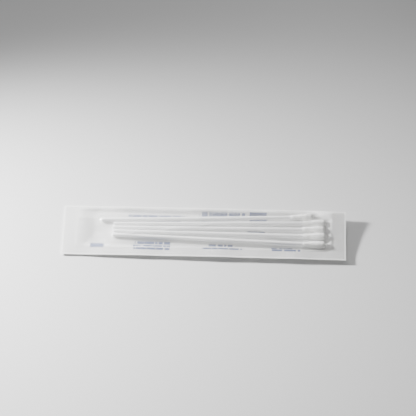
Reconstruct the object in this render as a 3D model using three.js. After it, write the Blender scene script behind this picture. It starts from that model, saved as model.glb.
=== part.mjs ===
// Peel pouch holding five plastic-shaft cotton swabs.
// Millimetres, +Z up. The origin is under the middle of the pouch, on the surface it lies on.
// +X runs from the tail end of the swabs to their cotton ends, +Y to the far long edge.

import * as THREE from 'three';

// ---------------------------------------------------------------- pouch
const POUCH_LENGTH = 200;
const POUCH_WIDTH = 40;
const PAPER_THICKNESS = 0.12;
const FILM_THICKNESS = 0.1;
const BARE_MARGIN = 1.2;        // strip of paper that the film leaves bare all round

// Flat sealed rim, measured from the paper's edge. The swabs fill the far side of the pouch.
const TAIL_RIM = 9;
const TIP_RIM = 9;
const NEAR_RIM = 6.5;
const FAR_RIM = 2;

// The rim's underside stands off the surface below, more at the thick cotton end.
const TAIL_RISE = 0.9;
const TIP_RISE = 2.3;

// The paper sinks from the rim to a flat floor. These are the widths of the four slopes.
const TAIL_SLOPE = 17;
const TIP_SLOPE = 5.5;
const NEAR_SLOPE = 3.6;
const FAR_SLOPE = 2.4;

// The far corner at the cotton end curls up, which draws it in and widens the far slope there.
const CURL_START = 72;          // lengthwise place where the curl starts
const CURL_FOLD = 6;            // sideways place past which the webs are drawn in
const CURL_LIFT = 3.2;
const CURL_DRAW = 2;
const CURL_SLOPE = 2.6;
const CURL_STEP = 1.27;         // spacing of the grid lines that the two webs share there

// ---------------------------------------------------------------- swabs
const SWAB_LENGTH = 150;
const SHAFT_DIAMETER = 2.7;
const SHAFT_BORE = 1.3;
const SHAFT_CHAMFER = 0.2;
const SHAFT_SIDES = 16;
const BUD_LENGTH = 16;
const BUD_DIAMETER = 5.3;
const BUD_COVER = 1.4;          // cotton past the end of the shaft
const BUD_NECK_WALL = 0.25;     // thickness of the thin edge where the cotton starts
const BUD_TAPER = 12.5;         // length over which the cotton grows to its full diameter
const BUD_DOME = 2.8;           // length of the rounded end
const BUD_FIT = 0.15;           // radial clearance of the cotton round the shaft
const BUD_SIDES = 20;
const BUD_RINGS = 12;
const WRAP_DEPTH = 0.05;        // height of the soft ridges left by the winding
const WRAP_STARTS = 2;
const WRAP_TURNS = 2;
const REST_GAP = 0.12;          // clearance between a swab and the paper under it

// Places of the five swabs, near one first: end of the cotton, and the tail's sideways place.
const SWABS = [
  { tipX: 85.8, tipY: -8.3, tailY: -3.6 },
  { tipX: 86.2, tipY: -1.4, tailY: -0.6 },
  { tipX: 85.6, tipY: 4.2, tailY: 2.4 },
  { tipX: 86.0, tipY: 9.75, tailY: 5.4 },
  { tipX: 77.2, tipY: 14.4, tailY: 8.5 },
];

// ---------------------------------------------------------------- film drape
const FILM_GAP = 0.28;          // clearance of the film over the swabs
const FILM_LEAD = 1.3;          // how far past the ends of a swab it holds the film up
const FILM_PAPER_GAP = 0.14;    // clearance of the film over the unsealed paper
const FILM_PULL = 0.16;         // downward curvature that the film takes where it hangs free
const RELAX_STEPS = 1500;

// ---------------------------------------------------------------- materials
const PAPER_COLOUR = 0xf1f1ef;
const FILM_COLOUR = 0xe9edee;
const SHAFT_COLOUR = 0xeef2f0;
const COTTON_COLOUR = 0xf7f7f4;

const paperMaterial = () => new THREE.MeshStandardMaterial({
  color: PAPER_COLOUR, roughness: 0.85, metalness: 0, side: THREE.DoubleSide,
});
const filmMaterial = () => new THREE.MeshStandardMaterial({
  color: FILM_COLOUR, roughness: 0.15, metalness: 0, transparent: true, opacity: 0.3,
});
const shaftMaterial = () => new THREE.MeshStandardMaterial({
  color: SHAFT_COLOUR, roughness: 0.35, metalness: 0,
});
const cottonMaterial = () => new THREE.MeshStandardMaterial({
  color: COTTON_COLOUR, roughness: 1, metalness: 0,
});

const smoothstep = (value) => THREE.MathUtils.smoothstep(value, 0, 1);

// ---------------------------------------------------------------- cotton and shaft outlines

// Radius of the cotton at a distance from its neck towards its rounded end.
function budRadius(along) {
  const neck = SHAFT_DIAMETER / 2 + BUD_FIT + BUD_NECK_WALL;
  const full = BUD_DIAMETER / 2;
  const domeStart = BUD_LENGTH - BUD_DOME;
  if (along > domeStart) {
    const rise = Math.min((along - domeStart) / BUD_DOME, 1);
    return full * Math.sqrt(1 - rise ** 2.6);
  }
  return neck + (full - neck) * smoothstep(along / BUD_TAPER);
}

// Outer radius of a whole swab at a distance from its tail.
function swabRadius(along) {
  if (along < 0 || along > SWAB_LENGTH) return 0;
  const fromNeck = along - (SWAB_LENGTH - BUD_LENGTH);
  return fromNeck < 0 ? SHAFT_DIAMETER / 2 : budRadius(fromNeck);
}

// An extruded tube, open at both ends, with a small chamfer on its outer corners.
function shaftGeometry() {
  const outer = SHAFT_DIAMETER / 2;
  const bore = SHAFT_BORE / 2;
  const end = SWAB_LENGTH - BUD_COVER;
  const outline = [
    [bore, 0],
    [outer - SHAFT_CHAMFER, 0],
    [outer, SHAFT_CHAMFER],
    [outer, end - SHAFT_CHAMFER],
    [outer - SHAFT_CHAMFER, end],
    [bore, end],
    [bore, 0],
  ].map(([radius, along]) => new THREE.Vector2(radius, along));
  return new THREE.LatheGeometry(outline, SHAFT_SIDES);
}

// Cotton wound on the shaft: a blind socket for the shaft inside, a tapered and domed outside.
function budGeometry() {
  const socket = SHAFT_DIAMETER / 2 + BUD_FIT;
  const socketEnd = BUD_LENGTH - BUD_COVER + BUD_FIT;
  const outline = [new THREE.Vector2(0, socketEnd), new THREE.Vector2(socket, socketEnd)];
  outline.push(new THREE.Vector2(socket, 0));
  for (let ring = 0; ring <= BUD_RINGS; ring += 1) {
    const along = BUD_LENGTH * Math.sin((ring / BUD_RINGS) * Math.PI / 2);
    outline.push(new THREE.Vector2(budRadius(along), along));
  }
  const geometry = new THREE.LatheGeometry(outline, BUD_SIDES);
  raiseWrap(geometry, socket);
  return geometry;
}

// Raises the soft spiral ridges of the winding on the outside of the cotton.
function raiseWrap(geometry, socket) {
  const position = geometry.getAttribute('position');
  for (let i = 0; i < position.count; i += 1) {
    const x = position.getX(i);
    const along = position.getY(i);
    const z = position.getZ(i);
    const radius = Math.hypot(x, z);
    if (radius < socket + BUD_NECK_WALL / 2) continue;
    const turn = WRAP_STARTS * (Math.atan2(z, x) + (2 * Math.PI * WRAP_TURNS * along) / BUD_LENGTH);
    const scale = 1 + (WRAP_DEPTH * Math.sin(turn)) / radius;
    position.setXYZ(i, x * scale, along, z * scale);
  }
}

// ---------------------------------------------------------------- places of the swabs

// Ends of a swab's axis, low enough for its tail and its cotton to rest on the paper floor.
function swabAxis({ tipX, tipY, tailY }) {
  const floor = PAPER_THICKNESS + REST_GAP;
  const tailRadius = SHAFT_DIAMETER / 2;
  const budRest = SWAB_LENGTH - BUD_DOME;
  const climb = (BUD_DIAMETER / 2 + WRAP_DEPTH - tailRadius) / budRest;
  const sideways = (tipY - tailY) / SWAB_LENGTH;
  const direction = new THREE.Vector3(1, sideways, climb).normalize();
  const tip = new THREE.Vector3(tipX, tipY, floor + tailRadius + climb * SWAB_LENGTH);
  const tail = tip.clone().addScaledVector(direction, -SWAB_LENGTH);
  return { tail, direction };
}

// Height at which a swab holds up the film over a point, or -1 where it isn't under it.
function filmSupport({ tail, direction }, x, y) {
  const along = (x - tail.x) / direction.x;
  const radius = Math.max(
    swabRadius(along),
    swabRadius(along - FILM_LEAD),
    swabRadius(along + FILM_LEAD),
  );
  if (radius === 0) return -1;
  const offset = Math.abs(y - tail.y - along * direction.y);
  const aside = Math.max(0, offset - FILM_GAP);
  const reach = radius + FILM_GAP;
  if (aside >= reach) return -1;
  return tail.z + along * direction.z + Math.sqrt(reach * reach - aside * aside);
}

// ---------------------------------------------------------------- webs of the pouch

// Half sizes of the paper and the film, and the four inner edges of the sealed rim.
const paperHalf = { x: POUCH_LENGTH / 2, y: POUCH_WIDTH / 2 };
const filmHalf = { x: paperHalf.x - BARE_MARGIN, y: paperHalf.y - BARE_MARGIN };
const rim = {
  tail: TAIL_RIM - paperHalf.x,
  tip: paperHalf.x - TIP_RIM,
  near: NEAR_RIM - paperHalf.y,
  far: paperHalf.y - FAR_RIM,
};

const share = (value, from, to) => THREE.MathUtils.clamp((value - from) / (to - from), 0, 1);

// How far the far corner's curl has grown at a lengthwise place.
const curl = (x) => smoothstep(share(x, CURL_START, rim.tip));

// Sideways place of a point of the webs once the curl has drawn it in.
const drawnIn = (x, y) => y - CURL_DRAW * curl(x) * share(y, CURL_FOLD, rim.far);

// Height of the rim's underside.
function rimHeight(x, y) {
  const rise = THREE.MathUtils.mapLinear(x, -paperHalf.x, paperHalf.x, TAIL_RISE, TIP_RISE);
  return rise + CURL_LIFT * curl(x) * share(y, rim.near, rim.far);
}

const isSealed = (x, y) => x <= rim.tail || x >= rim.tip || y <= rim.near || y >= rim.far;

// Height of the paper's underside: the rim all round, sloping to a flat floor at zero.
function paperUnderside(x, y) {
  const lengthwise = smoothstep((x - rim.tail) / TAIL_SLOPE) * smoothstep((rim.tip - x) / TIP_SLOPE);
  const farSlope = FAR_SLOPE + CURL_SLOPE * curl(x);
  const crosswise = smoothstep((y - rim.near) / NEAR_SLOPE) * smoothstep((rim.far - y) / farSlope);
  return rimHeight(x, y) * (1 - lengthwise * crosswise);
}

const paperTop = (x, y) => paperUnderside(x, y) + PAPER_THICKNESS;

// Grid lines through a row of stations, each span [end, step] cut into steps of about that size.
function gridLines(start, spans) {
  const lines = [start];
  for (const [end, step] of spans) {
    const from = lines[lines.length - 1];
    const count = Math.max(1, Math.round((end - from) / step));
    for (let i = 1; i <= count; i += 1) lines.push(from + ((end - from) * i) / count);
  }
  return lines;
}

// A thin closed sheet whose lower and upper faces take their heights at the grid's corners.
function sheetGeometry(xs, ys, lower, upper) {
  const geometry = new THREE.BoxGeometry(1, 1, 1, xs.length - 1, ys.length - 1, 1);
  const position = geometry.getAttribute('position');
  for (let n = 0; n < position.count; n += 1) {
    const i = Math.round((position.getX(n) + 0.5) * (xs.length - 1));
    const j = Math.round((position.getY(n) + 0.5) * (ys.length - 1));
    const height = position.getZ(n) > 0 ? upper(i, j) : lower(i, j);
    position.setXYZ(n, xs[i], drawnIn(xs[i], ys[j]), height);
  }
  return geometry;
}

function paperGeometry() {
  const xs = gridLines(-paperHalf.x, [
    [rim.tail, TAIL_RIM],
    [rim.tail + TAIL_SLOPE, 2.4],
    [CURL_START, 24],
    [rim.tip, CURL_STEP],
    [paperHalf.x, TIP_RIM],
  ]);
  const ys = gridLines(-paperHalf.y, [
    [rim.near, NEAR_RIM],
    [rim.near + NEAR_SLOPE, 0.72],
    [CURL_FOLD, 16],
    [rim.far - FAR_SLOPE - CURL_SLOPE, 7],
    [rim.far - FAR_SLOPE, 0.9],
    [rim.far, 0.65],
    [paperHalf.y, FAR_RIM],
  ]);
  const lower = (i, j) => paperUnderside(xs[i], ys[j]);
  const upper = (i, j) => paperTop(xs[i], ys[j]);
  return sheetGeometry(xs, ys, lower, upper);
}

// Underside of the film: fixed to the paper at the seals, lowered in small steps everywhere
// else until it hangs evenly, and held up wherever a swab or the paper is in its way.
function drapedFilm(xs, ys, axes) {
  const floor = xs.map((x) => ys.map((y) => (
    paperTop(x, y) + (isSealed(x, y) ? 0 : FILM_PAPER_GAP)
  )));
  const held = xs.map((x, i) => ys.map((y, j) => (
    Math.max(floor[i][j], ...axes.map((axis) => filmSupport(axis, x, drawnIn(x, y))))
  )));
  const film = held.map((row) => row.slice());
  for (let step = 0; step < RELAX_STEPS; step += 1) {
    for (let i = 1; i < xs.length - 1; i += 1) {
      for (let j = 1; j < ys.length - 1; j += 1) {
        if (isSealed(xs[i], ys[j])) continue;
        film[i][j] = Math.max(held[i][j], hangingHeight(film, xs, ys, i, j));
      }
    }
  }
  return film;
}

// Height at one grid corner that gives the free film its even downward pull.
function hangingHeight(film, xs, ys, i, j) {
  const [left, right] = [xs[i] - xs[i - 1], xs[i + 1] - xs[i]];
  const [near, far] = [ys[j] - ys[j - 1], ys[j + 1] - ys[j]];
  const alongX = (film[i - 1][j] / left + film[i + 1][j] / right) * (2 / (left + right));
  const alongY = (film[i][j - 1] / near + film[i][j + 1] / far) * (2 / (near + far));
  const weight = 2 / (left * right) + 2 / (near * far);
  return (alongX + alongY - FILM_PULL) / weight;
}

function filmGeometry(axes) {
  const xs = gridLines(-filmHalf.x, [
    [rim.tail, TAIL_RIM],
    [-76, 3],
    [-71, 1.25],
    [-66, 2.5],
    [-61.5, 1.1],
    [-52, 3],
    [62, 8],
    [CURL_START, 1.25],
    [rim.tip, CURL_STEP],
    [filmHalf.x, TIP_RIM],
  ]);
  const ys = gridLines(-filmHalf.y, [
    [rim.near, NEAR_RIM],
    [rim.near + NEAR_SLOPE, 0.9],
    [CURL_FOLD, 1.25],
    [rim.far - FAR_SLOPE, 1.25],
    [rim.far, 0.87],
    [filmHalf.y, FAR_RIM],
  ]);
  const film = drapedFilm(xs, ys, axes);
  const lower = (i, j) => film[i][j];
  const upper = (i, j) => film[i][j] + FILM_THICKNESS;
  return sheetGeometry(xs, ys, lower, upper);
}

// ---------------------------------------------------------------- assembly

function namedMesh(name, geometry, material) {
  const mesh = new THREE.Mesh(geometry, material);
  mesh.name = name;
  return mesh;
}

// One swab: its shaft and its cotton, turned from the lathe's upright axis onto its own.
function swabGroup(number, axis) {
  const swab = new THREE.Group();
  const shaft = namedMesh(`swab_shaft_${number}`, shaftGeometry(), shaftMaterial());
  const bud = namedMesh(`cotton_bud_${number}`, budGeometry(), cottonMaterial());
  bud.position.y = SWAB_LENGTH - BUD_LENGTH;
  swab.add(shaft, bud);
  swab.position.copy(axis.tail);
  swab.quaternion.setFromUnitVectors(new THREE.Vector3(0, 1, 0), axis.direction);
  return swab;
}

const group = new THREE.Group();
const axes = SWABS.map(swabAxis);
group.add(namedMesh('paper_web', paperGeometry(), paperMaterial()));
group.add(namedMesh('film_web', filmGeometry(axes), filmMaterial()));
axes.forEach((axis, index) => group.add(swabGroup(index + 1, axis)));

export default group;
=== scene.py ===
"""Looks of a sealed peel pouch that holds five cotton-tipped applicators, built on its CAD frame."""
import logging
import math
from dataclasses import dataclass, field
from enum import Enum
from typing import Any, ClassVar

import bmesh
import bpy
import numpy as np
from bmesh.types import BMesh, BMVert
from bpy.types import Material, Node, NodeSocket, NodeTree, Object
from mathutils import Matrix, Vector, noise


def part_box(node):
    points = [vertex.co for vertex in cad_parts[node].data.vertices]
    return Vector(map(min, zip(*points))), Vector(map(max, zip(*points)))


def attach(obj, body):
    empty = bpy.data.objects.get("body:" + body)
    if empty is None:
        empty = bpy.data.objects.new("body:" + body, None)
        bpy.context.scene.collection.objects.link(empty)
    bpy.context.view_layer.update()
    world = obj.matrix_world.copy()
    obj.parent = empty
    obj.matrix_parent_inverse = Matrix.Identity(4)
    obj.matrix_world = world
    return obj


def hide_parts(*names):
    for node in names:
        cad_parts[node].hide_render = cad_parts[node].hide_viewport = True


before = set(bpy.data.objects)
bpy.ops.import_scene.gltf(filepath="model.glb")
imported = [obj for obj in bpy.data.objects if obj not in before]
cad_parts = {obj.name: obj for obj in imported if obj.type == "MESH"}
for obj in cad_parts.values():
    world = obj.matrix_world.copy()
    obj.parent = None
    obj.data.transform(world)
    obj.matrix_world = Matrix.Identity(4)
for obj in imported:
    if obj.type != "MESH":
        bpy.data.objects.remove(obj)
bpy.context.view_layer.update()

LOG = logging.getLogger("peel_pouch")
MM = 0.001
BODY = "root"
SWAB_COUNT = 5
MERGE_DISTANCE = 1e-5       # millimetres
TINT = {"data_type": "RGBA", "blend_type": "MULTIPLY"}      # settings of nodes used more than once
EASE = {"interpolation_type": "SMOOTHSTEP"}
TIMES = {"operation": "MULTIPLY"}

Grid = np.ndarray
Pair = tuple[float, float]


# ---- small helpers

def linear(hex_colour: str) -> tuple[float, float, float, float]:
    """Turn an sRGB hex colour into a linear one.

    Args:
        hex_colour: Six hex digits after a hash sign.

    Returns:
        Linear red, green and blue, and an alpha of 1.
    """
    digits = hex_colour.lstrip("#")
    shares = [int(digits[i:i + 2], 16) / 255 for i in (0, 2, 4)]
    red, green, blue = (
        s / 12.92 if s <= 0.04045 else ((s + 0.055) / 1.055) ** 2.4 for s in shares
    )
    return red, green, blue, 1.0


def add_node(
    tree: NodeTree, kind: str, settings: dict[str, Any] | None = None,
    inputs: dict[str | int, Any] | None = None,
) -> Node:
    """Add a shader node with its settings, plain values and links.

    Args:
        tree: Node tree that the node goes into.
        kind: Blender's name of the node's type, without "ShaderNode".
        settings: Properties of the node itself.
        inputs: For each input, by name or number: a value, a socket to link from, or a node
            whose first output it links from.

    Returns:
        The new node.
    """
    node = tree.nodes.new(f"ShaderNode{kind}")
    for name, value in (settings or {}).items():
        setattr(node, name, value)
    for key, value in (inputs or {}).items():
        source = value.outputs[0] if isinstance(value, Node) else value
        if isinstance(source, NodeSocket):
            tree.links.new(source, node.inputs[key])
        else:
            node.inputs[key].default_value = source
    return node


def smoothstep(value: Grid) -> Grid:
    """Ease a value from 0 to 1 with flat ends.

    Args:
        value: Numbers that are limited to the span from 0 to 1 first.

    Returns:
        The eased numbers.
    """
    share = np.clip(value, 0, 1)
    return share * share * (3 - 2 * share)


@dataclass(frozen=True)
class Ripple:
    """A layer of smooth noise: how high it is, the length and width of its cells, and its seed."""

    height: float
    length: float
    width: float
    seed: int

    def at(self, x: Grid, y: Grid) -> Grid:
        """Give the layer's heights, both up and down.

        Args:
            x: Lengthwise places in millimetres.
            y: Sideways places in millimetres, of the same shape.

        Returns:
            One height for each place.
        """
        cells = 512
        lattice = np.random.default_rng(self.seed).uniform(-1, 1, (cells, cells))
        u = x / self.length + cells / 2
        v = y / self.width + cells / 2
        i, j = np.floor(u).astype(int), np.floor(v).astype(int)
        s, t = smoothstep(u - i), smoothstep(v - j)
        near, far = (
            lattice[i % cells, row % cells] * (1 - s) + lattice[(i + 1) % cells, row % cells] * s
            for row in (j, j + 1)
        )
        return self.height * (near * (1 - t) + far * t)


def neighbour_mean(heights: Grid) -> Grid:
    """Average the four neighbours of each place. The outermost places keep their heights.

    Args:
        heights: Heights by column and row.

    Returns:
        The averaged heights.
    """
    mean = heights.copy()
    across = heights[:-2, 1:-1] + heights[2:, 1:-1]
    mean[1:-1, 1:-1] = (across + heights[1:-1, :-2] + heights[1:-1, 2:]) / 4
    return mean


def spun(outline: list[Pair], steps: int, closed: bool) -> BMesh:
    """Spin an outline once round the X axis.

    Args:
        outline: Radius, and place along the axis, of each point.
        steps: Number of steps in the full turn.
        closed: True if the last point joins the first.

    Returns:
        The spun shape, with soft faces.
    """
    shape = bmesh.new()
    points = [shape.verts.new((along, 0, radius)) for radius, along in outline]
    first = 0 if closed else 1
    edges = [shape.edges.new((points[i - 1], points[i])) for i in range(first, len(points))]
    bmesh.ops.spin(
        shape, geom=points + edges, cent=(0, 0, 0), axis=(1, 0, 0), dvec=(0, 0, 0),
        angle=math.tau, steps=steps, use_merge=True,
    )
    tidied(shape)
    return shape


def tidied(shape: BMesh) -> None:
    """Merge a shape's doubled corners, turn its faces outward and make them soft.

    Args:
        shape: Shape in millimetres.
    """
    bmesh.ops.remove_doubles(shape, verts=shape.verts[:], dist=MERGE_DISTANCE)
    bmesh.ops.recalc_face_normals(shape, faces=shape.faces[:])
    for face in shape.faces:
        face.smooth = True


def mesh_object(name: str, shape: BMesh, materials: list[Material]) -> Object:
    """Turn a bmesh in metres into an object of the scene.

    Args:
        name: Name of the object and its mesh.
        shape: Finished bmesh, which is freed.
        materials: Materials in the order of the faces' material numbers.

    Returns:
        The new object.
    """
    mesh = bpy.data.meshes.new(name)
    shape.to_mesh(mesh)
    shape.free()
    for material in materials:
        mesh.materials.append(material)
    made = bpy.data.objects.new(name, mesh)
    bpy.context.scene.collection.objects.link(made)
    return made


def finished_piece(piece: Object, node: str) -> Object:
    """Make an object a piece that stands for a CAD node.

    Args:
        piece: The object.
        node: CAD node that the piece stands for.

    Returns:
        The same object.
    """
    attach(piece, BODY)
    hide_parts(node)
    return piece


# ---- finishes

class Finish:
    """A surface finish, whose nodes work in millimetres on the piece."""

    name: ClassVar[str]

    def surface(self, tree: NodeTree, place: Node) -> Node:
        """Add the nodes of the finish.

        Args:
            tree: Node tree of the material.
            place: Node that gives the place on the piece in millimetres.

        Returns:
            The shader node that makes the whole surface.
        """
        raise NotImplementedError

    def material(self) -> Material:
        """Build the finish's material.

        Returns:
            A new node material.
        """
        material = bpy.data.materials.new(self.name)
        material.use_nodes = True
        tree = material.node_tree
        tree.nodes.clear()
        coordinates = add_node(tree, "TexCoord")
        place = add_node(
            tree, "VectorMath", {"operation": "SCALE"},
            {0: coordinates.outputs["Object"], "Scale": 1 / MM},
        )
        surface = self.surface(tree, place)
        add_node(tree, "OutputMaterial", inputs={"Surface": surface})
        return material


class PaperFace(Enum):
    """Side of the paper web."""

    INNER = 0
    OUTER = 1


@dataclass(frozen=True)
class WebBox:
    """An upright box on the web, placed by its middle, in millimetres."""

    x: float
    y: float
    length: float
    height: float
    broken: bool = False


# Plain fields and rows of ink: a block, a heavy row and a thin rule off the middle, and rows
# of dashes round them.
INK_FIELDS = (
    WebBox(38.0, 13.5, 12.3, 8.2),
    WebBox(12.6, 15.3, 32.4, 3.6, broken=True),
    WebBox(21.0, 9.6, 47.0, 1.6),
    WebBox(36.8, 2.2, 12.5, 1.8),
    WebBox(-34.0, 13.4, 40.0, 2.0, broken=True),
    WebBox(-34.0, 10.2, 34.0, 1.8, broken=True),
    WebBox(-36.0, -8.6, 25.0, 2.2, broken=True),
    WebBox(-36.5, -11.6, 26.5, 2.1, broken=True),
    WebBox(-36.5, -14.4, 25.5, 1.8, broken=True),
    WebBox(-75.0, -12.0, 9.5, 3.8),
    WebBox(12.0, -9.4, 17.0, 1.9, broken=True),
    WebBox(13.0, -13.2, 28.0, 1.5, broken=True),
    WebBox(55.0, -10.9, 15.0, 1.5, broken=True),
    WebBox(58.0, -13.2, 20.0, 2.0, broken=True),
)


@dataclass(frozen=True)
class WebMasks:
    """Masks on a web, made of nodes that work in millimetres."""

    tree: NodeTree
    axes: Node      # gives X and Y
    dash_scale: float = 0.42        # noise cells per millimetre
    dash_edge: Pair = (0.34, 0.39)  # noise at which a dash begins, and is full

    def box(self, box: WebBox, soft: float) -> Node:
        """Mask a box.

        Args:
            box: The box.
            soft: Half the width over which its edges fade.

        Returns:
            A node that gives 1 inside the box and 0 outside.
        """
        sides = []
        for place, middle, size in zip(self.axes.outputs, (box.x, box.y), (box.length, box.height)):
            offset = add_node(self.tree, "Math", {"operation": "SUBTRACT"}, {0: place, 1: middle})
            apart = add_node(self.tree, "Math", {"operation": "ABSOLUTE"}, {0: offset})
            ends = {"From Min": size / 2 - soft, "From Max": size / 2 + soft, "To Min": 1.0, "To Max": 0.0}
            sides.append(add_node(self.tree, "MapRange", EASE, {"Value": apart, **ends}))
        return add_node(self.tree, "Math", TIMES, dict(enumerate(sides)))

    def dashes(self, shift: float) -> Node:
        """Mask dashes a few millimetres long, all the way across the web.

        Args:
            shift: Distance by which they are moved lengthwise.

        Returns:
            A node that gives 1 on a dash and 0 in a gap.
        """
        shifted = add_node(
            self.tree, "Math", {"operation": "ADD"}, {0: self.axes.outputs["X"], 1: shift}
        )
        ripple = add_node(
            self.tree, "TexNoise", {"noise_dimensions": "1D"},
            {"W": shifted, "Scale": self.dash_scale, "Detail": 1.0, "Roughness": 0.6},
        )
        start, full = self.dash_edge
        return add_node(
            self.tree, "MapRange", EASE, {"Value": ripple, "From Min": start, "From Max": full}
        )


@dataclass(frozen=True)
class MedicalPaper(Finish):
    """Bleached medical paper, machine-made and uncoated, printed in one ink on its outer face.

    Seen from inside, the ink shows through the sheet as soft slate blue. The matt fibres give
    a faintly cloudy white, and where the web is sealed the melted coat makes it a little greyer.
    """

    face: PaperFace
    form: "PouchForm"
    white: str = "#FBFBFA"
    ink: str = "#13278F"
    show_through: str = "#6273A0"
    sealed: str = "#F9F9F9"     # tint of the paper under the melted seal
    passed: float = 0.32        # share of the light that each face lets through
    roughness: float = 0.82
    seal_softness: float = 0.25     # half the width of its edge, in millimetres
    cloud_size: float = 3.0     # paper formation, in millimetres
    fibre_size: float = 0.35    # real fibres are 0.03 wide, drawn coarser so that they show
    row_shift: float = 37.0     # keeps the dashes of the rows apart, in millimetres

    @property
    def name(self) -> str:
        """Return the material's name, which ends in the paper's face."""
        return f"medical_paper_{self.face.name.lower()}"

    @property
    def edge_softness(self) -> float:
        """Return how far the ink's edge spreads, in millimetres."""
        return 0.3 if self.face is PaperFace.INNER else 0.06

    def ink_mask(self, masks: WebMasks) -> Node:
        """Join all the ink fields into one mask.

        Args:
            masks: Maker of masks for the material.

        Returns:
            A node that gives 1 where there is ink.
        """
        joined: Node | float = 0.0
        for number, ink in enumerate(INK_FIELDS):
            block = masks.box(ink, self.edge_softness)
            if ink.broken:
                cut = masks.dashes(self.row_shift * number)
                block = add_node(masks.tree, "Math", TIMES, {0: block, 1: cut})
            joined = add_node(masks.tree, "Math", {"operation": "MAXIMUM"}, {0: block, 1: joined})
        return joined

    def seal_mask(self, masks: WebMasks) -> Node:
        """Mask the sealed rim, between the film's cut edge and the unsealed middle.

        Args:
            masks: Maker of masks for the material.

        Returns:
            A node that gives 1 on the seal.
        """
        form = self.form
        tail, tip, near, far = form.rim
        film = WebBox(0.0, 0.0, 2 * (form.half_x - form.margin), 2 * (form.half_y - form.margin))
        free = WebBox((tail + tip) / 2, (near + far) / 2, tip - tail, far - near)
        boxes = [masks.box(box, self.seal_softness) for box in (film, free)]
        return add_node(masks.tree, "Math", {"operation": "SUBTRACT"}, dict(enumerate(boxes)))

    def surface(self, tree: NodeTree, place: Node) -> Node:
        """Add the paper's clouds, fibres, ink and seal.

        Args:
            tree: Node tree of the material.
            place: Node that gives the place on the piece in millimetres.

        Returns:
            The paper's shader, with the light that it lets through.
        """
        masks = WebMasks(tree, add_node(tree, "SeparateXYZ", inputs={0: place}))
        cloud = add_node(
            tree, "TexNoise", inputs={"Vector": place, "Scale": 1 / self.cloud_size, "Detail": 3.0}
        )
        fibre = add_node(
            tree, "TexNoise",
            inputs={"Vector": place, "Scale": 1 / self.fibre_size, "Detail": 2.0, "Distortion": 1.5},
        )
        shade = add_node(
            tree, "MapRange",
            inputs={"Value": cloud, "From Min": 0.3, "From Max": 0.7, "To Min": 0.965, "To Max": 1.0},
        )
        white = add_node(tree, "Mix", TINT, {0: 1.0, 6: linear(self.white), 7: shade})
        ink = self.ink_mask(masks)
        inner = self.face is PaperFace.INNER
        colour = add_node(
            tree, "Mix", {"data_type": "RGBA", "blend_type": "MULTIPLY" if inner else "MIX"},
            {0: ink, 6: white.outputs[2], 7: linear(self.show_through if inner else self.ink)},
        )
        if inner:
            seal = self.seal_mask(masks)
            colour = add_node(
                tree, "Mix", TINT, {0: seal, 6: colour.outputs[2], 7: linear(self.sealed)}
            )
        bump = add_node(tree, "Bump", inputs={"Strength": 0.25, "Distance": 0.02 * MM, "Height": fibre})
        fibres = add_node(
            tree, "BsdfPrincipled",
            inputs={
                "Base Color": colour.outputs[2], "Roughness": self.roughness, "IOR": 1.5, "Normal": bump,
            },
        )
        glow = add_node(tree, "BsdfTranslucent", inputs={"Color": colour.outputs[2]})
        return add_node(tree, "MixShader", inputs={0: self.passed, 1: fibres, 2: glow})


@dataclass(frozen=True)
class LaminateFilm(Finish):
    """Polyester and polythene laminate, cast clear and heat-sealed to the paper.

    It mirrors more the more aslant it is seen, and is finely crinkled where it was drawn
    over the swabs. The polythene's faint milky haze sends some light back and some onward.
    """

    name: ClassVar[str] = "pet_laminate_film"
    clear: str = "#FEFEFE"
    milk: str = "#F7F7F7"
    veil: float = 0.115         # share of the light that each face scatters
    forward: float = 0.5        # share of the scattered light that goes on through
    head_on_mirror: float = 0.024
    slant_power: float = 5.0    # as for any clear sheet
    roughness: float = 0.16
    crinkle_size: float = 2.2   # millimetres
    crinkle_depth: float = 0.12

    def surface(self, tree: NodeTree, place: Node) -> Node:
        """Add the film's crinkles, haze and mirror.

        Args:
            tree: Node tree of the material.
            place: Node that gives the place on the piece in millimetres.

        Returns:
            A see-through shader that mirrors more at a slant.
        """
        crinkle = add_node(
            tree, "TexNoise",
            inputs={"Vector": place, "Scale": 1 / self.crinkle_size, "Detail": 2.5, "Distortion": 0.6},
        )
        bump = add_node(
            tree, "Bump",
            inputs={"Strength": 0.35, "Distance": self.crinkle_depth * MM, "Height": crinkle},
        )
        facing = add_node(tree, "LayerWeight", inputs={"Blend": 0.5, "Normal": bump})
        slant = add_node(
            tree, "Math", {"operation": "POWER"}, {0: facing.outputs["Facing"], 1: self.slant_power}
        )
        mirror_share = add_node(
            tree, "Math", {"operation": "MULTIPLY_ADD"},
            {0: slant, 1: 1 - self.head_on_mirror, 2: self.head_on_mirror},
        )
        clear = add_node(tree, "BsdfTransparent", inputs={"Color": linear(self.clear)})
        back = add_node(
            tree, "BsdfPrincipled", inputs={"Base Color": linear(self.milk), "Roughness": 0.5}
        )
        onward = add_node(tree, "BsdfTranslucent", inputs={"Color": linear(self.clear)})
        haze = add_node(tree, "MixShader", inputs={0: self.forward, 1: back, 2: onward})
        body = add_node(tree, "MixShader", inputs={0: self.veil, 1: clear, 2: haze})
        gloss = add_node(
            tree, "BsdfAnisotropic",
            inputs={"Color": (1, 1, 1, 1), "Roughness": self.roughness, "Normal": bump},
        )
        return add_node(tree, "MixShader", inputs={0: mirror_share, 1: body, 2: gloss})


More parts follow.
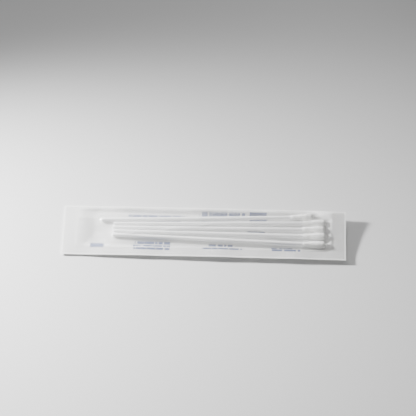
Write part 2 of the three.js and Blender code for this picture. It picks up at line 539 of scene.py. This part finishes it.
@dataclass(frozen=True)
class ExtrudedPolypropylene(Finish):
    """Natural polypropylene, extruded as a thin tube.

    Milky and faintly cool, a little see-through at its edges, with a satin skin that the
    die marked in fine lengthwise lines.
    """

    name: ClassVar[str] = "extruded_polypropylene"
    colour: str = "#FAFAFA"
    roughness: Pair = (0.28, 0.42)
    glow: float = 0.6           # share of the light that spreads inside the plastic
    glow_depth: float = 1.6     # millimetres
    line_spacing: float = 0.22
    line_depth: float = 0.02
    line_stretch: float = 50.0  # how much longer than wide the lines are

    def surface(self, tree: NodeTree, place: Node) -> Node:
        """Add the plastic and its die lines.

        Args:
            tree: Node tree of the material.
            place: Node that gives the place on the piece in millimetres.

        Returns:
            A satin shader that glows a little.
        """
        stretched = add_node(
            tree, "Mapping", inputs={"Vector": place, "Scale": (1 / self.line_stretch, 1.0, 1.0)}
        )
        lines = add_node(
            tree, "TexNoise", inputs={"Vector": stretched, "Scale": 1 / self.line_spacing, "Detail": 1.0}
        )
        roughness = add_node(
            tree, "MapRange",
            inputs={"Value": lines, "To Min": self.roughness[0], "To Max": self.roughness[1]},
        )
        bump = add_node(
            tree, "Bump", inputs={"Strength": 0.3, "Distance": self.line_depth * MM, "Height": lines}
        )
        return add_node(
            tree, "BsdfPrincipled",
            inputs={
                "Base Color": linear(self.colour), "Roughness": roughness, "IOR": 1.49,
                "Subsurface Weight": self.glow, "Subsurface Radius": (1.0, 1.0, 1.0),
                "Subsurface Scale": self.glow_depth * MM, "Normal": bump,
            },
        )


@dataclass(frozen=True)
class WoundCotton(Finish):
    """Bleached absorbent cotton, wound as a sliver on the turning shaft.

    Dull and faintly warm white, soft at the edge where loose fibres catch the light, with
    fibres that run round it, and painted shade in the hollows between them.
    """

    name: ClassVar[str] = "wound_cotton"
    colour: str = "#F8F8F6"
    # painted shade: a darker colour for the hollows between the fibres, where shade falls
    fibre_gap_shade: str = "#E9E9E6"     # between the fibres
    glow: float = 0.3           # share of the light that spreads inside the cotton
    glow_depth: float = 0.8     # millimetres
    fibre_size: float = 0.3     # real fibres are 0.02 wide, drawn coarser so that they show
    fibre_depth: float = 0.05
    fibre_stretch: float = 4.0  # how much longer than wide the fibres are

    def surface(self, tree: NodeTree, place: Node) -> Node:
        """Add the cotton and the fibres that run round it.

        Args:
            tree: Node tree of the material.
            place: Node that gives the place on the piece in millimetres.

        Returns:
            A matt shader that glows a little.
        """
        squeeze = 1 / self.fibre_stretch
        round_it = add_node(tree, "Mapping", inputs={"Vector": place, "Scale": (1.0, squeeze, squeeze)})
        fibre = add_node(
            tree, "TexNoise",
            inputs={"Vector": round_it, "Scale": 1 / self.fibre_size, "Detail": 3.0, "Distortion": 0.8},
        )
        # The fibre noise mixes the painted shade of the hollows into the cotton's white.
        colour = add_node(
            tree, "Mix", {"data_type": "RGBA"}, {0: fibre, 6: linear(self.fibre_gap_shade), 7: linear(self.colour)}
        )
        bump = add_node(
            tree, "Bump", inputs={"Strength": 0.5, "Distance": self.fibre_depth * MM, "Height": fibre}
        )
        return add_node(
            tree, "BsdfPrincipled",
            inputs={
                "Base Color": colour.outputs[2], "Roughness": 0.95, "Specular IOR Level": 0.2,
                "Sheen Weight": 0.3, "Sheen Roughness": 0.5, "Subsurface Weight": self.glow,
                "Subsurface Radius": (1.0, 1.0, 1.0), "Subsurface Scale": self.glow_depth * MM,
                "Normal": bump,
            },
        )


@dataclass(frozen=True)
class PaintedBoard(Finish):
    """Matt white paint on a board, rolled on, with a barely seen unevenness."""

    name: ClassVar[str] = "painted_board"
    colour: str = "#D5D5D5"
    mottle_size: float = 90.0   # millimetres

    def surface(self, tree: NodeTree, place: Node) -> Node:
        """Add the paint and its mottle.

        Args:
            tree: Node tree of the material.
            place: Node that gives the place on the piece in millimetres.

        Returns:
            A plain matt shader.
        """
        mottle = add_node(
            tree, "TexNoise", inputs={"Vector": place, "Scale": 1 / self.mottle_size, "Detail": 2.0}
        )
        shade = add_node(tree, "MapRange", inputs={"Value": mottle, "To Min": 0.985, "To Max": 1.0})
        colour = add_node(tree, "Mix", TINT, {0: 1.0, 6: linear(self.colour), 7: shade})
        return add_node(
            tree, "BsdfPrincipled",
            inputs={"Base Color": colour.outputs[2], "Roughness": 0.75, "Specular IOR Level": 0.3},
        )


# ---- swabs

@dataclass(frozen=True)
class WoundLayer:
    """A layer of noise on the wound cotton, in millimetres."""

    height: float
    width: float        # of a cell, round the bud
    length: float       # of a cell, along it
    lean: float = 0.0   # how far it runs along in a radian of turn
    shift: float = 1.0  # how many of the swab's own shifts it is moved


# Soft lumps, then strands that follow the winding, then fuzz.
WOUND_LAYERS = (
    WoundLayer(0.09, 2.2, 3.2),
    WoundLayer(0.055, 2.6, 0.28, lean=0.9),
    WoundLayer(0.02, 0.5, 0.2, shift=-1.0),
)


@dataclass
class Swab:
    """One applicator: an extruded shaft and the cotton wound on its end. Sizes in millimetres."""

    number: int
    length: float = 150.0
    bore: float = 1.3
    chamfer: float = 0.15
    shaft_sides: int = 48
    sharp_angle: float = 40.0       # degrees
    bud_length: float = 16.0
    bud_cover: float = 1.4          # cotton past the shaft's end
    bud_taper: float = 12.5
    bud_dome: float = 2.8
    dome_power: float = 2.6         # 2 would round it like a ball, more makes it blunter
    neck_wall: float = 0.07         # thickness at the very edge of the neck
    neck_step: float = 0.4          # thickness where the neck has risen
    neck_start: float = 0.25        # share of that rise that the edge has already
    neck_rise: float = 1.6
    fibre_room: float = 0.07        # kept free for the fibres inside the CAD's outline
    socket_play: float = 0.02
    socket_end_play: float = 0.05
    outline_steps: int = 200        # at which the film feels the cotton's outline
    bud_sides: int = 96
    bud_rings: int = 120
    winding_height: float = 0.045   # ridge of the wound sliver
    winding_turns: float = 2.0
    wound_fade: Pair = (1.5, 0.6)  # at the neck and at the tip
    layer_shift: float = 17.0       # keeps the noise of the swabs apart
    hairs: int = 150
    hair_seed: int = 100
    hair_bare: Pair = (1.5, 0.9)  # no middle of a hair at the neck and the tip
    hair_limit: Pair = (0.6, 0.3)  # no part of a hair there
    hair_length: Pair = (1.2, 3.4)
    hair_lift: Pair = (0.01, 0.1)
    hair_slant: float = 0.35
    hair_clearance: float = 0.02
    hair_turn_radius: float = 0.8   # least radius that a hair bends round
    hair_radius: float = 0.022
    hair_steps: int = 6
    hair_sides: int = 3
    tail: Vector = field(init=False)
    tip: Vector = field(init=False)
    radius: float = field(init=False)
    bud_radius: float = field(init=False)

    def __post_init__(self) -> None:
        """Read the axis and the radii from the CAD nodes."""
        self.tail, self.radius = self.end_ring(f"swab_shaft_{self.number}", high=False)
        shaft_end, _ = self.end_ring(f"swab_shaft_{self.number}", high=True)
        self.tip = self.tail + (shaft_end - self.tail).normalized() * self.length
        low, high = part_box(f"cotton_bud_{self.number}")
        self.bud_radius = (high.z - low.z) / 2 / MM - self.fibre_room

    def end_ring(self, node: str, high: bool) -> tuple[Vector, float]:
        """Find the middle and radius of a shaft's end.

        Args:
            node: CAD node of the shaft.
            high: True for the end with the greater X.

        Returns:
            The middle of the end and the shaft's radius, in millimetres.
        """
        low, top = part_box(node)
        end = top.x if high else low.x
        ring = [v.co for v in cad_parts[node].data.vertices if abs(v.co.x - end) < MM]
        sides = [(min(p[i] for p in ring), max(p[i] for p in ring)) for i in (1, 2)]
        middle = Vector((end, sum(sides[0]) / 2, sum(sides[1]) / 2)) / MM
        return middle, (sides[1][1] - sides[1][0]) / 2 / MM

    @property
    def direction(self) -> Vector:
        """Return the unit vector from the tail to the tip."""
        return (self.tip - self.tail).normalized()

    def placed(self, shape: BMesh) -> None:
        """Turn a shape made along +X onto the swab's axis, and scale it to metres.

        Args:
            shape: Shape in millimetres with the tail at its origin.
        """
        turn = Vector((1, 0, 0)).rotation_difference(self.direction).to_matrix().to_4x4()
        place = Matrix.Scale(MM, 4) @ Matrix.Translation(self.tail) @ turn
        bmesh.ops.transform(shape, matrix=place, verts=shape.verts[:])

    def bud_outline(self, along: float) -> float:
        """Give the cotton's smooth radius.

        Args:
            along: Distance from the neck.

        Returns:
            Radius at that distance.
        """
        dome_start = self.bud_length - self.bud_dome
        if along > dome_start:
            rise = min((along - dome_start) / self.bud_dome, 1.0)
            return self.bud_radius * math.sqrt(max(0.0, 1 - rise ** self.dome_power))
        neck, thin = self.radius + self.neck_step, self.radius + self.neck_wall
        share = float(smoothstep(np.array(along / self.bud_taper)))
        feather = float(smoothstep(np.array(self.neck_start + along / self.neck_rise)))
        full = neck + (self.bud_radius - neck) * share
        return thin + (full - thin) * feather

    def outer_radius(self, along: Grid) -> Grid:
        """Give the radius of the whole swab at distances from its tail, 0 past its ends.

        Args:
            along: Distances from the tail.

        Returns:
            One radius for each distance.
        """
        stations = np.linspace(0, self.bud_length, self.outline_steps)
        radii = [self.bud_outline(float(s)) for s in stations]
        from_neck = along - (self.length - self.bud_length)
        bud = np.interp(from_neck, stations, radii, left=self.radius, right=0.0)
        return np.where((along < 0) | (along > self.length), 0.0, bud)

    def build_shaft(self) -> Object:
        """Spin the tube with its bore and chamfered ends.

        Returns:
            The shaft piece.
        """
        end = self.length - self.bud_cover
        inner, outer, cut = self.bore / 2, self.radius, self.chamfer
        outline = [
            (inner + cut / 2, 0), (outer - cut, 0), (outer, cut), (outer, end / 2), (outer, end - cut),
            (outer - cut, end), (inner + cut / 2, end), (inner, end - cut / 2), (inner, end / 2),
            (inner, cut / 2),
        ]
        shape = spun(outline, self.shaft_sides, closed=True)
        for edge in shape.edges:
            edge.smooth = edge.calc_face_angle(0.0) < math.radians(self.sharp_angle)
        self.placed(shape)
        shaft = mesh_object(
            f"extruded_shaft_{self.number}", shape, [ExtrudedPolypropylene().material()]
        )
        return finished_piece(shaft, f"swab_shaft_{self.number}")

    def wound_height(self, along: float, turn: float) -> float:
        """Give how far the wound fibres stand off the smooth outline.

        Args:
            along: Distance from the neck, in millimetres.
            turn: Angle round the axis, in radians.

        Returns:
            Height in millimetres.
        """
        after_neck, before_tip = self.wound_fade
        fade = min(1.0, along / after_neck) * min(1.0, max(0.0, (self.bud_length - along) / before_tip))
        winding = 2 * (turn + 2 * math.pi * self.winding_turns * along / self.bud_length)
        height = self.winding_height * math.sin(winding)
        ring = Vector((math.cos(turn), math.sin(turn), 0)) * self.bud_radius
        for layer in WOUND_LAYERS:
            shift = layer.shift * self.layer_shift * self.number
            lengthwise = (along + layer.lean * turn) / layer.length + shift
            place = Vector((ring.x / layer.width, ring.y / layer.width, lengthwise))
            height += layer.height * noise.noise(place)
        return fade * height

    def build_bud(self) -> Object:
        """Spin the cotton's outline, raise its wound fibres and add loose ones.

        Returns:
            The cotton piece.
        """
        socket = self.radius + self.socket_play
        socket_end = self.bud_length - self.bud_cover + self.socket_end_play
        outline = [(0.0, socket_end), (socket, socket_end), (socket, 0.0)]
        for ring in range(self.bud_rings + 1):
            along = self.bud_length * math.sin(ring / self.bud_rings * math.pi / 2)
            outline.append((self.bud_outline(along) if ring < self.bud_rings else 0.0, along))
        shape = spun(outline, self.bud_sides, closed=False)
        for vert in shape.verts:
            if math.hypot(vert.co.y, vert.co.z) > socket + self.socket_play / 2:
                vert.co += vert.normal * self.wound_height(vert.co.x, math.atan2(vert.co.z, vert.co.y))
        self.add_hairs(shape)
        bmesh.ops.translate(shape, verts=shape.verts[:], vec=(self.length - self.bud_length, 0, 0))
        self.placed(shape)
        bud = mesh_object(f"wound_bud_{self.number}", shape, [WoundCotton().material()])
        return finished_piece(bud, f"cotton_bud_{self.number}")

    def add_hairs(self, shape: BMesh) -> None:
        """Lay loose fibres on the cotton, each a thin closed spindle that follows the winding.

        Args:
            shape: The bud in millimetres along +X, which gains the fibres.
        """
        chance = np.random.default_rng(self.hair_seed + self.number)
        holder = bpy.data.meshes.new("hair")
        for _ in range(self.hairs):
            start = float(chance.uniform(self.hair_bare[0], self.bud_length - self.hair_bare[1]))
            turn = float(chance.uniform(0, math.tau))
            slant = float(chance.normal(0.0, self.hair_slant))
            reach = float(chance.uniform(*self.hair_length))
            lift = float(chance.uniform(*self.hair_lift))
            hair = self.hair(start, turn, slant, reach, lift)
            hair.to_mesh(holder)
            hair.free()
            shape.from_mesh(holder)
        bpy.data.meshes.remove(holder)

    def hair(self, start: float, turn: float, slant: float, reach: float, lift: float) -> BMesh:
        """Make one loose fibre as a rolled-up grid whose ends taper to points.

        Args:
            start: Distance of its middle from the neck.
            turn: Angle of its middle round the axis.
            slant: How much it leans along the axis.
            reach: Its length.
            lift: How far its ends rise off the cotton.

        Returns:
            The fibre in millimetres.
        """
        hair = bmesh.new()
        bmesh.ops.create_grid(hair, x_segments=self.hair_steps, y_segments=self.hair_sides, size=0.5)
        lowest, highest = self.hair_limit[0], self.bud_length - self.hair_limit[1]
        for vert in hair.verts:
            share = vert.co.x + 0.5
            spoke = math.tau * (vert.co.y + 0.5)
            along = min(max(start + slant * reach * (share - 0.5), lowest), highest)
            radius = self.bud_outline(along)
            angle = turn + reach * (share - 0.5) / max(radius, self.hair_turn_radius)
            rise = self.hair_clearance + lift * (2 * share - 1) ** 2
            width = self.hair_radius * math.sin(math.pi * share)
            out = radius + self.wound_height(along, angle) + rise + width * math.cos(spoke)
            vert.co = (along + width * math.sin(spoke), out * math.cos(angle), out * math.sin(angle))
        tidied(hair)
        return hair

    def support(self, x: Grid, y: Grid, gap: float, lead: float) -> Grid:
        """Give the height at which the swab holds up the film over each place.

        Args:
            x: Lengthwise places in millimetres.
            y: Sideways places in millimetres.
            gap: Clearance of the film over the swab.
            lead: How far past its ends the swab still holds the film.

        Returns:
            Heights in millimetres, -1 where the swab isn't under the place.
        """
        along = (x - self.tail.x) / self.direction.x
        radius = np.maximum.reduce([self.outer_radius(along + step) for step in (-lead, 0.0, lead)])
        offset = np.abs(y - self.tail.y - along * self.direction.y)
        reach = radius + gap
        crest = self.tail.z + along * self.direction.z
        rise = np.sqrt(np.maximum(reach ** 2 - offset ** 2, 0))
        return np.where((radius > 0) & (offset < reach), crest + rise, -1.0)


# ---- webs

@dataclass(frozen=True)
class Fold:
    """A soft crease in the free film, from its middle, in millimetres."""

    x: float
    y: float
    slope: float
    length: float
    width: float
    height: float


@dataclass(frozen=True)
class Wave:
    """A wave of the rim, in millimetres and radians."""

    height: float
    length: float       # in which it turns through a radian
    shift: float

    def at(self, x: Grid) -> Grid:
        """Give the wave's heights at lengthwise places."""
        return self.height * np.sin(x / self.length + self.shift)


@dataclass(frozen=True)
class Curl:
    """The far corner at the cotton end curls up, which draws it in. Millimetres."""

    start: float = 72.0     # lengthwise place where the curl starts
    fold: float = 6.0       # sideways place past which the webs are drawn in
    lift: float = 3.2
    draw: float = 2.0
    slope: float = 2.6      # how much it widens the far slope
    bend: float = 1.35      # how much of its lift gathers at the corner


@dataclass
class PouchForm:
    """Shape that the two webs share: a sealed rim off the table and a floor on it. Millimetres."""

    curl: Curl = Curl()
    slow_wave: Wave = Wave(0.16, 9.6, 0.8)
    quick_wave: Wave = Wave(0.09, 4.3, 2.1)     # turned over on the near side
    wave_start: float = 4.8     # sideways place where the waves begin
    wave_growth: float = 12.0
    pucker: Ripple = Ripple(0.1, 4.5, 14.0, 5)  # on the paper's slopes
    tail_rim: float = 9.0
    tip_rim: float = 9.0
    near_rim: float = 6.5
    far_rim: float = 2.0
    tail_rise: float = 0.9
    tip_rise: float = 2.5
    crown: float = 0.8          # how much higher the rim stands halfway along
    tail_slope: float = 17.0
    tip_slope: float = 6.4
    tip_flat: float = 0.5       # stretch of unsealed paper at the tip end, level with the rim
    near_slope: float = 3.6
    far_slope: float = 2.4
    corner_start: float = 78.0  # past the fifth swab, where the paper rises to the curled corner
    corner_side: float = 12.2
    corner_climb: Pair = (0.28, 0.72)  # its slopes lengthwise and sideways
    corner_ease: Pair = (3.0, 1.5)  # lengths over which it sets in
    paper_thickness: float = 0.12
    margin: float = 1.2         # strip of paper that the film leaves bare all round
    sharp_angle: float = 60.0   # degrees
    cell: float = 0.5
    half_x: float = field(init=False)
    half_y: float = field(init=False)

    def __post_init__(self) -> None:
        """Read the paper's size from its CAD node."""
        low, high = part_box("paper_web")
        self.half_x = (high.x - low.x) / 2 / MM
        self.half_y = (high.y - low.y) / 2 / MM

    @property
    def rim(self) -> tuple[float, float, float, float]:
        """Return the inner edges of the sealed rim: tail, tip, near and far."""
        ends = self.tail_rim - self.half_x, self.half_x - self.tip_rim
        return *ends, self.near_rim - self.half_y, self.half_y - self.far_rim

    def freedom(self, x: Grid, y: Grid, fade: float) -> Grid:
        """Give how free the webs are to part: 0 on the sealed rim, rising to 1 inside it.

        Args:
            x: Lengthwise places.
            y: Sideways places.
            fade: Distance over which the share rises.

        Returns:
            A share for each place.
        """
        tail, tip, near, far = self.rim
        inside = np.minimum.reduce([x - tail, tip - x, y - near, far - y])
        return smoothstep(inside / fade)

    def curled(self, x: Grid) -> Grid:
        """Give how far the curl has come: 0 before it, 1 at the end seal."""
        _, tip, _, _ = self.rim
        return smoothstep((x - self.curl.start) / (tip - self.curl.start))

    def drawn_in(self, x: Grid, y: Grid) -> Grid:
        """Give the sideways place to which the curl draws each place of the flat web.

        Args:
            x: Lengthwise places.
            y: Sideways places on the flat web.

        Returns:
            Sideways places on the curled web.
        """
        _, _, _, far = self.rim
        share = np.clip((y - self.curl.fold) / (far - self.curl.fold), 0, 1)
        return y - self.curl.draw * self.curled(x) * share

    def rim_height(self, x: Grid, y: Grid) -> Grid:
        """Give the height of the rim's underside, with its slow waves and curled corner.

        Args:
            x: Lengthwise places.
            y: Sideways places.

        Returns:
            A height for each place, as if the rim went on over the whole web.
        """
        _, _, near, far = self.rim
        rise = self.tail_rise + (self.tip_rise - self.tail_rise) * (x + self.half_x) / (2 * self.half_x)
        waves = self.slow_wave.at(x) + self.quick_wave.at(x) * np.sign(y)
        waves = waves * smoothstep((np.abs(y) - self.wave_start) / self.wave_growth)
        crown = self.crown * np.cos(math.pi / 2 * np.clip(x / self.half_x, -1, 1))
        share = np.clip((y - near) / (far - near), 0, 1)
        return rise + crown + waves + self.curl.lift * self.curled(x) * share ** self.curl.bend

    def paper_underside(self, x: Grid, y: Grid) -> Grid:
        """Give the height of the paper's underside: the rim, sloping to a flat floor at zero.

        Args:
            x: Lengthwise places.
            y: Sideways places.

        Returns:
            A height for each place.
        """
        tail, tip, near, far = self.rim
        from_tip = tip - self.tip_flat - x
        lengthwise = smoothstep((x - tail) / self.tail_slope) * smoothstep(from_tip / self.tip_slope)
        far_slope = self.far_slope + self.curl.slope * self.curled(x)
        crosswise = smoothstep((y - near) / self.near_slope) * smoothstep((far - y) / far_slope)
        beyond, beside = x - self.corner_start, y - self.corner_side
        plane = self.corner_climb[0] * beyond + self.corner_climb[1] * beside
        ease = smoothstep(beyond / self.corner_ease[0]) * smoothstep(beside / self.corner_ease[1])
        height = self.rim_height(x, y)
        ramp = np.clip(plane / height, 0, 1) * ease
        raised = 1 - lengthwise * crosswise * (1 - ramp)
        pucker = self.pucker.at(x, y) * 4 * raised * (1 - raised)
        return np.maximum(height * raised + pucker, 0)

    def web(self, half_x: float, half_y: float, top: Grid, thickness: float) -> BMesh:
        """Make a thin closed sheet from heights on an even grid.

        Args:
            half_x: Half the sheet's length.
            half_y: Half its width.
            top: Heights of its upper face, by column and row.
            thickness: Thickness of the sheet.

        Returns:
            The sheet in metres, with soft faces and sharp cut edges.
        """
        columns, rows = top.shape[0] - 1, top.shape[1] - 1
        shape = bmesh.new()
        bmesh.ops.create_grid(shape, x_segments=columns, y_segments=rows, size=0.5)
        x, y = self.places(half_x, half_y)
        sideways = self.drawn_in(x, y)
        for vert in shape.verts:
            i = round((vert.co.x + 0.5) * columns)
            j = round((vert.co.y + 0.5) * rows)
            vert.co = (x[i, j] * MM, sideways[i, j] * MM, top[i, j] * MM)
        for face in shape.faces:
            face.smooth = True
        made = bmesh.ops.extrude_face_region(shape, geom=shape.faces[:])
        lowered = [part for part in made["geom"] if isinstance(part, BMVert)]
        bmesh.ops.translate(shape, verts=lowered, vec=(0, 0, -thickness * MM))
        bmesh.ops.recalc_face_normals(shape, faces=shape.faces[:])
        for edge in shape.edges:
            edge.smooth = edge.calc_face_angle(0.0) < math.radians(self.sharp_angle)
        return shape

    def places(self, half_x: float, half_y: float) -> tuple[Grid, Grid]:
        """Lay an even grid over a sheet.

        Args:
            half_x: Half the sheet's length.
            half_y: Half its width.

        Returns:
            Lengthwise and sideways places of the grid's corners.
        """
        columns, rows = round(2 * half_x / self.cell), round(2 * half_y / self.cell)
        return np.meshgrid(
            np.linspace(-half_x, half_x, columns + 1), np.linspace(-half_y, half_y, rows + 1), indexing="ij"
        )


@dataclass
class PaperWeb:
    """The printed paper back of the pouch."""

    form: PouchForm

    def build(self) -> Object:
        """Model the paper and dress its two faces.

        Returns:
            The paper piece.
        """
        form = self.form
        x, y = form.places(form.half_x, form.half_y)
        top = form.paper_underside(x, y) + form.paper_thickness
        shape = form.web(form.half_x, form.half_y, top, form.paper_thickness)
        for face in shape.faces:
            side = PaperFace.OUTER if face.normal.z < -0.5 else PaperFace.INNER
            face.material_index = side.value
        materials = [MedicalPaper(face, form).material() for face in PaperFace]
        return finished_piece(mesh_object("printed_paper_web", shape, materials), "paper_web")


@dataclass
class FilmWeb:
    """The clear film front of the pouch, draped over the swabs. Millimetres."""

    form: PouchForm
    swabs: list[Swab]
    thickness: float = 0.06
    seal_gap: float = 0.015
    paper_gap: float = 0.12
    gap_growth: float = 1.5     # length over which the gap opens inside the seal
    swab_gap: float = 0.16
    lead: float = 0.3           # how far past its ends a swab holds the film
    pull: float = 0.05
    uneven: Ripple = Ripple(0.8, 26.0, 5.0, 15)     # share by which the pull differs
    relax_steps: int = 500
    over_relax: float = 1.85
    smooth_passes: int = 2
    wrinkle_growth: float = 2.5     # length over which the wrinkles rise inside the seal
    puckers: Ripple = Ripple(0.22, 3.6, 30.0, 11)
    pucker_reach: Pair = (3.2, 2.4)  # off the near and the far seal
    tip_streaks: Ripple = Ripple(0.12, 12.0, 2.5, 12)
    tip_ease: Pair = (80.0, 5.0)  # where they start, and over what length
    tail_streaks: Ripple = Ripple(0.12, 14.0, 3.2, 13)
    tail_ease: Pair = (-58.0, 8.0)
    slack: Ripple = Ripple(0.14, 34.0, 3.4, 14)
    folds: tuple[Fold, ...] = (
        Fold(42.0, 0.5, -0.36, 34.0, 1.1, 0.45),
        Fold(52.0, -3.6, -0.12, 26.0, 1.2, 0.4),
        Fold(-12.0, 3.0, 0.16, 46.0, 1.1, 0.25),
        Fold(-58.0, -4.5, 0.22, 30.0, 1.2, 0.3),
        Fold(-70.0, 6.0, -0.3, 22.0, 1.6, 0.14),
        Fold(14.0, -9.5, -0.1, 40.0, 1.4, 0.3),
        Fold(74.0, 12.0, 0.3, 18.0, 1.0, 0.2),
    )

    def wrinkles(self, x: Grid, y: Grid) -> Grid:
        """Give the fine form of the free film: puckers off the seals, slack and creases.

        Args:
            x: Lengthwise places.
            y: Sideways places.

        Returns:
            Heights to add to the evenly hung film.
        """
        _, _, near, far = self.form.rim
        near_reach, far_reach = self.pucker_reach
        beside_seal = np.exp(-((y - near) / near_reach) ** 2) + np.exp(-((far - y) / far_reach) ** 2)
        at_tip = smoothstep((x - self.tip_ease[0]) / self.tip_ease[1])
        at_tail = smoothstep((self.tail_ease[0] - x) / self.tail_ease[1])
        total = self.puckers.at(x, y) * beside_seal + self.tip_streaks.at(x, y) * at_tip
        total = total + self.tail_streaks.at(x, y) * at_tail + self.slack.at(x, y)
        for fold in self.folds:
            across = (y - fold.y - fold.slope * (x - fold.x)) / fold.width
            window = smoothstep((fold.length / 2 - np.abs(x - fold.x)) / (fold.length / 3))
            total = total + fold.height * np.exp(-across ** 2) * window
        return total * self.form.freedom(x, y, self.wrinkle_growth)

    def draped(self, x: Grid, y: Grid) -> Grid:
        """Hang the film: lowered in small steps, held up by the swabs and the paper.

        Args:
            x: Lengthwise places.
            y: Sideways places.

        Returns:
            Heights of the film's underside.
        """
        form = self.form
        paper = form.paper_underside(x, y) + form.paper_thickness
        opening = form.freedom(x, y, self.gap_growth)
        floor = paper + self.seal_gap + (self.paper_gap - self.seal_gap) * opening
        sideways = form.drawn_in(x, y)
        supports = [swab.support(x, sideways, self.swab_gap, self.lead) for swab in self.swabs]
        held = np.maximum.reduce([floor, *supports])
        pull = self.pull * (1 + self.uneven.at(x, y))
        i, j = np.indices(x.shape)
        free = form.freedom(x, y, fade=1e-3) > 0.5
        interior = np.zeros_like(free)
        interior[1:-1, 1:-1] = free[1:-1, 1:-1]
        colours = [interior & ((i + j) % 2 == parity) for parity in (0, 1)]
        film = held.copy()
        for _ in range(self.relax_steps):
            for colour in colours:
                target = neighbour_mean(film) - pull * form.cell * form.cell / 4
                moved = np.maximum(held, film + self.over_relax * (target - film))
                film = np.where(colour, moved, film)
        film = np.maximum(held, film + self.wrinkles(x, y))
        for _ in range(self.smooth_passes):
            film = np.where(interior, np.maximum(held, (film + neighbour_mean(film)) / 2), film)
        return film

    def build(self) -> Object:
        """Model the film and dress it.

        Returns:
            The film piece.
        """
        form = self.form
        half_x, half_y = form.half_x - form.margin, form.half_y - form.margin
        x, y = form.places(half_x, half_y)
        top = self.draped(x, y) + self.thickness
        shape = form.web(half_x, half_y, top, self.thickness)
        film = mesh_object("clear_film_web", shape, [LaminateFilm().material()])
        return finished_piece(film, "film_web")


# ---- studio

@dataclass(frozen=True)
class Lamp:
    """A light that the camera doesn't see, in metres and watts."""

    name: str
    kind: str
    power: float
    place: tuple[float, float, float]
    aim: tuple[float, float, float]
    settings: dict[str, Any]

    def build(self) -> None:
        """Make the light and point it."""
        light = bpy.data.lights.new(self.name, self.kind)
        light.energy = self.power
        for name, value in self.settings.items():
            setattr(light, name, value)
        lamp = bpy.data.objects.new(self.name, light)
        lamp.location = self.place
        lamp.rotation_mode = "QUATERNION"
        lamp.rotation_quaternion = (Vector(self.aim) - Vector(self.place)).to_track_quat("-Z", "Y")
        lamp.visible_camera = False
        bpy.context.scene.collection.objects.link(lamp)


KEY_BEARING = math.radians(20.0)    # off the pouch's own line
KEY_DISTANCE = 0.464

# A small low key that rakes in from the tail end, and a dim softbox that stands on the far
# side and shines down at about 45 degrees.
LAMPS = (
    Lamp(
        "low_key", "SPOT", power=69.5, aim=(0.6, -0.591, 0.0),
        place=(-math.cos(KEY_BEARING) * KEY_DISTANCE, math.sin(KEY_BEARING) * KEY_DISTANCE, 0.185),
        settings={"shadow_soft_size": 0.03, "spot_size": math.radians(82.4), "spot_blend": 1.0},
    ),
    Lamp(
        "back_softbox", "AREA", power=0.14, place=(-0.1, 0.34, 0.335), aim=(-0.009, 0.027, 0.0),
        settings={"shape": "RECTANGLE", "size": 0.44, "size_y": 0.26, "spread": math.radians(40.0)},
    ),
)


@dataclass
class Studio:
    """Pale floor, lights and an even sky. Sizes in metres."""

    floor_size: float = 8.0
    floor_drop: float = 0.00005     # under the lowest point of the pouch
    sky_level: float = 0.375

    def build(self) -> None:
        """Lay the floor and set the lights and the sky."""
        self.build_floor()
        for lamp in LAMPS:
            lamp.build()
        self.build_sky()

    def build_floor(self) -> None:
        """Lay the floor just under the pouch."""
        shape = bmesh.new()
        bmesh.ops.create_grid(shape, x_segments=8, y_segments=8, size=self.floor_size / 2)
        bmesh.ops.translate(shape, verts=shape.verts[:], vec=(0, 0, -self.floor_drop))
        mesh_object("floor", shape, [PaintedBoard().material()])

    def build_sky(self) -> None:
        """Set an even grey sky that fills the shadows."""
        world = bpy.data.worlds.new("studio_fill")
        world.use_nodes = True
        sky = world.node_tree.nodes["Background"]
        sky.inputs["Color"].default_value = (1, 1, 1, 1)
        sky.inputs["Strength"].default_value = self.sky_level
        bpy.context.scene.world = world


@dataclass
class ViewCamera:
    """Camera at the viewing angle, far off with a long lens. Millimetres and degrees."""

    lens: float = 160.1
    sensor: float = 36.0
    bearing: float = -1.804
    elevation: float = 58.016
    distance: float = 1319.4
    aim: tuple[float, float, float] = (2.18, 21.71, 0.0)

    def build(self) -> None:
        """Create the camera and make it the scene's own."""
        data = bpy.data.cameras.new("view_camera")
        data.lens = self.lens
        data.sensor_width = self.sensor
        data.clip_start, data.clip_end = 0.05, 50.0
        camera = bpy.data.objects.new("view_camera", data)
        turn, tilt = math.radians(self.bearing), math.radians(self.elevation)
        look = Vector((
            math.sin(turn) * math.cos(tilt), math.cos(turn) * math.cos(tilt), -math.sin(tilt)
        ))
        camera.location = (Vector(self.aim) - look * self.distance) * MM
        camera.rotation_mode = "QUATERNION"
        camera.rotation_quaternion = look.to_track_quat("-Z", "Y")
        bpy.context.scene.collection.objects.link(camera)
        bpy.context.scene.camera = camera


# ---- main

def main() -> None:
    """Build the camera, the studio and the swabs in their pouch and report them."""
    logging.basicConfig(level=logging.INFO, format="%(name)s %(message)s")
    ViewCamera().build()
    Studio().build()
    swabs = [Swab(number) for number in range(1, SWAB_COUNT + 1)]
    pieces = []
    for swab in swabs:
        pieces += [swab.build_shaft(), swab.build_bud()]
    form = PouchForm()
    pieces += [PaperWeb(form).build(), FilmWeb(form, swabs).build()]
    for piece in pieces:
        LOG.info("%s: %d faces", piece.name, len(piece.data.polygons))


if __name__ == "__main__":
    main()
